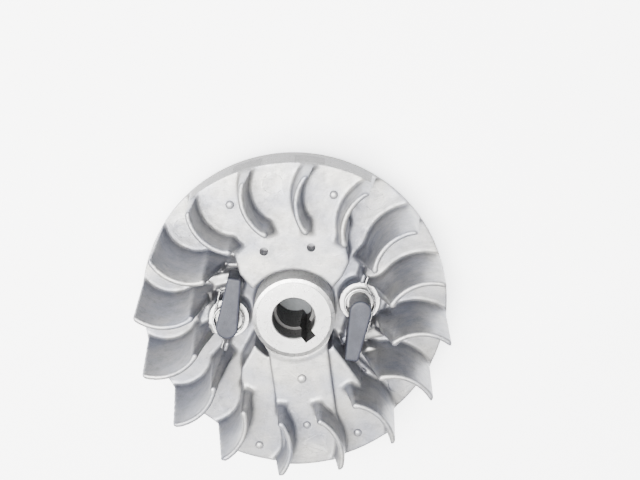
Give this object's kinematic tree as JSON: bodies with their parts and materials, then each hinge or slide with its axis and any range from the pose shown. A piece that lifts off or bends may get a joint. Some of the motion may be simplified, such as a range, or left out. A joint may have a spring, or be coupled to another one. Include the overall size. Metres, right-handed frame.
{
  "type": "flywheel",
  "caption": "Die-cast fan flywheel for a small two-stroke engine, with curved cooling blades, magnet insert, keyed tapered hub and two sprung recoil-starter pawls held by E-clips.",
  "frame": {"origin": "centre of the hub's back face, on the crankshaft axis", "axes": "+Z along the crankshaft axis towards the fan side, +X through the right pawl boss"},
  "size_m": [0.1, 0.1, 0.04],
  "materials": {
    "cast_aluminium": "as die-cast aluminium, satin, with machined hub face and boss faces",
    "magnet": "plain magnet block",
    "pole_steel": "laminated steel, turned flush with the rim",
    "pawl_plastic": "black moulded glass-filled nylon, satin",
    "spring_steel": "bright spring wire",
    "clip_steel": "zinc-plated spring steel"
  },
  "bodies": {
    "flywheel": {"rim_disc": "cast_aluminium", "hub": "cast_aluminium", "magnet_sector": "cast_aluminium", "balance_sector": "cast_aluminium", "pawl_boss_left": "cast_aluminium", "pawl_boss_right": "cast_aluminium", "spring_stop_left": "cast_aluminium", "spring_stop_right": "cast_aluminium", "post_guide_left": "cast_aluminium", "post_guide_right": "cast_aluminium", "fan_blade_01": "cast_aluminium", "fan_blade_02": "cast_aluminium", "fan_blade_03": "cast_aluminium", "fan_blade_04": "cast_aluminium", "fan_blade_05": "cast_aluminium", "fan_blade_06": "cast_aluminium", "fan_blade_07": "cast_aluminium", "fan_blade_08": "cast_aluminium", "fan_blade_09": "cast_aluminium", "fan_blade_10": "cast_aluminium", "fan_blade_11": "cast_aluminium", "fan_blade_12": "cast_aluminium", "fan_blade_13": "cast_aluminium", "fan_blade_14": "cast_aluminium", "fan_blade_15": "cast_aluminium", "fan_blade_16": "cast_aluminium", "magnet": "magnet", "pole_shoe_left": "pole_steel", "pole_shoe_right": "pole_steel", "pawl_spring_left": "spring_steel", "pawl_spring_right": "spring_steel"},
    "pawl_left": {"pawl_left": "pawl_plastic", "e_clip_left": "clip_steel"},
    "pawl_right": {"pawl_right": "pawl_plastic", "e_clip_right": "clip_steel"}
  },
  "joints": [
    {"name": "pawl_left_pivot", "type": "hinge", "parent": "flywheel", "child": "pawl_left", "pos_m": [-0.0213, 0, 0.02], "axis": [0, 0, 1], "range_deg": [0, 30], "stiffness_Nm_per_rad": 0.012, "springref_deg": -28.65, "deforming": ["pawl_spring_left"]},
    {"name": "pawl_right_pivot", "type": "hinge", "parent": "flywheel", "child": "pawl_right", "pos_m": [0.0213, 0, 0.02], "axis": [0, 0, 1], "range_deg": [0, 30], "stiffness_Nm_per_rad": 0.012, "springref_deg": -28.65, "deforming": ["pawl_spring_right"]}
  ]
}
